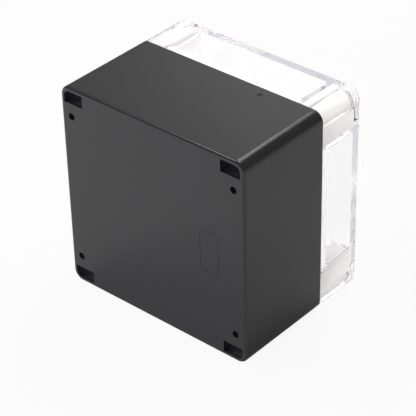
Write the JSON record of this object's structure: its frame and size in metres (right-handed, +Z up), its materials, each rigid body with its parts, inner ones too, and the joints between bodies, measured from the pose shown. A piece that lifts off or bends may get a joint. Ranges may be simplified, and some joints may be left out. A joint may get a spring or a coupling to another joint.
{
  "type": "waterproof project box",
  "caption": "Square sealed enclosure for electronics with a charcoal base, a deep clear lid held by corner screws, a seal in the lid's rim and mounting holes through its back.",
  "frame": {"origin": "on the surface the box stands on, below the middle of the box", "axes": "+Z up, +Y out of the mounting back, -Y out of the clear lid, +X to the right seen from the lid"},
  "size_m": [0.12, 0.09, 0.12],
  "materials": {
    "base_plastic": "satin moulded charcoal ABS",
    "lid_clear": "polished clear polycarbonate",
    "gasket_silicone": "soft white silicone",
    "screw_nylon": "natural nylon",
    "ring_silicone": "soft translucent silicone",
    "insert_brass": "turned brass"
  },
  "bodies": {
    "base": {"base_shell": "base_plastic", "threaded_insert_bottom_left": "insert_brass", "threaded_insert_bottom_right": "insert_brass", "threaded_insert_top_right": "insert_brass", "threaded_insert_top_left": "insert_brass"},
    "lid": {"clear_lid": "lid_clear", "lid_gasket": "gasket_silicone"},
    "ring_bottom_left": {"screw_ring_bottom_left": "ring_silicone"},
    "screw_bottom_left": {"lid_screw_bottom_left": "screw_nylon"},
    "ring_bottom_right": {"screw_ring_bottom_right": "ring_silicone"},
    "screw_bottom_right": {"lid_screw_bottom_right": "screw_nylon"},
    "ring_top_right": {"screw_ring_top_right": "ring_silicone"},
    "screw_top_right": {"lid_screw_top_right": "screw_nylon"},
    "ring_top_left": {"screw_ring_top_left": "ring_silicone"},
    "screw_top_left": {"lid_screw_top_left": "screw_nylon"}
  },
  "joints": [
    {"name": "lid_lift", "type": "slide", "parent": "base", "child": "lid", "axis": [0, -1, 0], "range_m": [0, 0.06]},
    {"name": "screw_travel_bottom_left", "type": "slide", "parent": "lid", "child": "ring_bottom_left", "axis": [0, -1, 0], "range_m": [0, 0.0092]},
    {"name": "screw_turn_bottom_left", "type": "hinge", "parent": "ring_bottom_left", "child": "screw_bottom_left", "pos_m": [-0.053, -0.045, 0.007], "axis": [0, -1, 0], "range_deg": [0, 4140]},
    {"name": "screw_travel_bottom_right", "type": "slide", "parent": "lid", "child": "ring_bottom_right", "axis": [0, -1, 0], "range_m": [0, 0.0092]},
    {"name": "screw_turn_bottom_right", "type": "hinge", "parent": "ring_bottom_right", "child": "screw_bottom_right", "pos_m": [0.053, -0.045, 0.007], "axis": [0, -1, 0], "range_deg": [0, 4140]},
    {"name": "screw_travel_top_right", "type": "slide", "parent": "lid", "child": "ring_top_right", "axis": [0, -1, 0], "range_m": [0, 0.0092]},
    {"name": "screw_turn_top_right", "type": "hinge", "parent": "ring_top_right", "child": "screw_top_right", "pos_m": [0.053, -0.045, 0.113], "axis": [0, -1, 0], "range_deg": [0, 4140]},
    {"name": "screw_travel_top_left", "type": "slide", "parent": "lid", "child": "ring_top_left", "axis": [0, -1, 0], "range_m": [0, 0.0092]},
    {"name": "screw_turn_top_left", "type": "hinge", "parent": "ring_top_left", "child": "screw_top_left", "pos_m": [-0.053, -0.045, 0.113], "axis": [0, -1, 0], "range_deg": [0, 4140]}
  ],
  "couplings": [
    {"joint": "screw_turn_bottom_left", "follows": "screw_travel_bottom_left", "rad_per_m": 7854},
    {"joint": "screw_turn_bottom_right", "follows": "screw_travel_bottom_right", "rad_per_m": 7854},
    {"joint": "screw_turn_top_right", "follows": "screw_travel_top_right", "rad_per_m": 7854},
    {"joint": "screw_turn_top_left", "follows": "screw_travel_top_left", "rad_per_m": 7854}
  ]
}
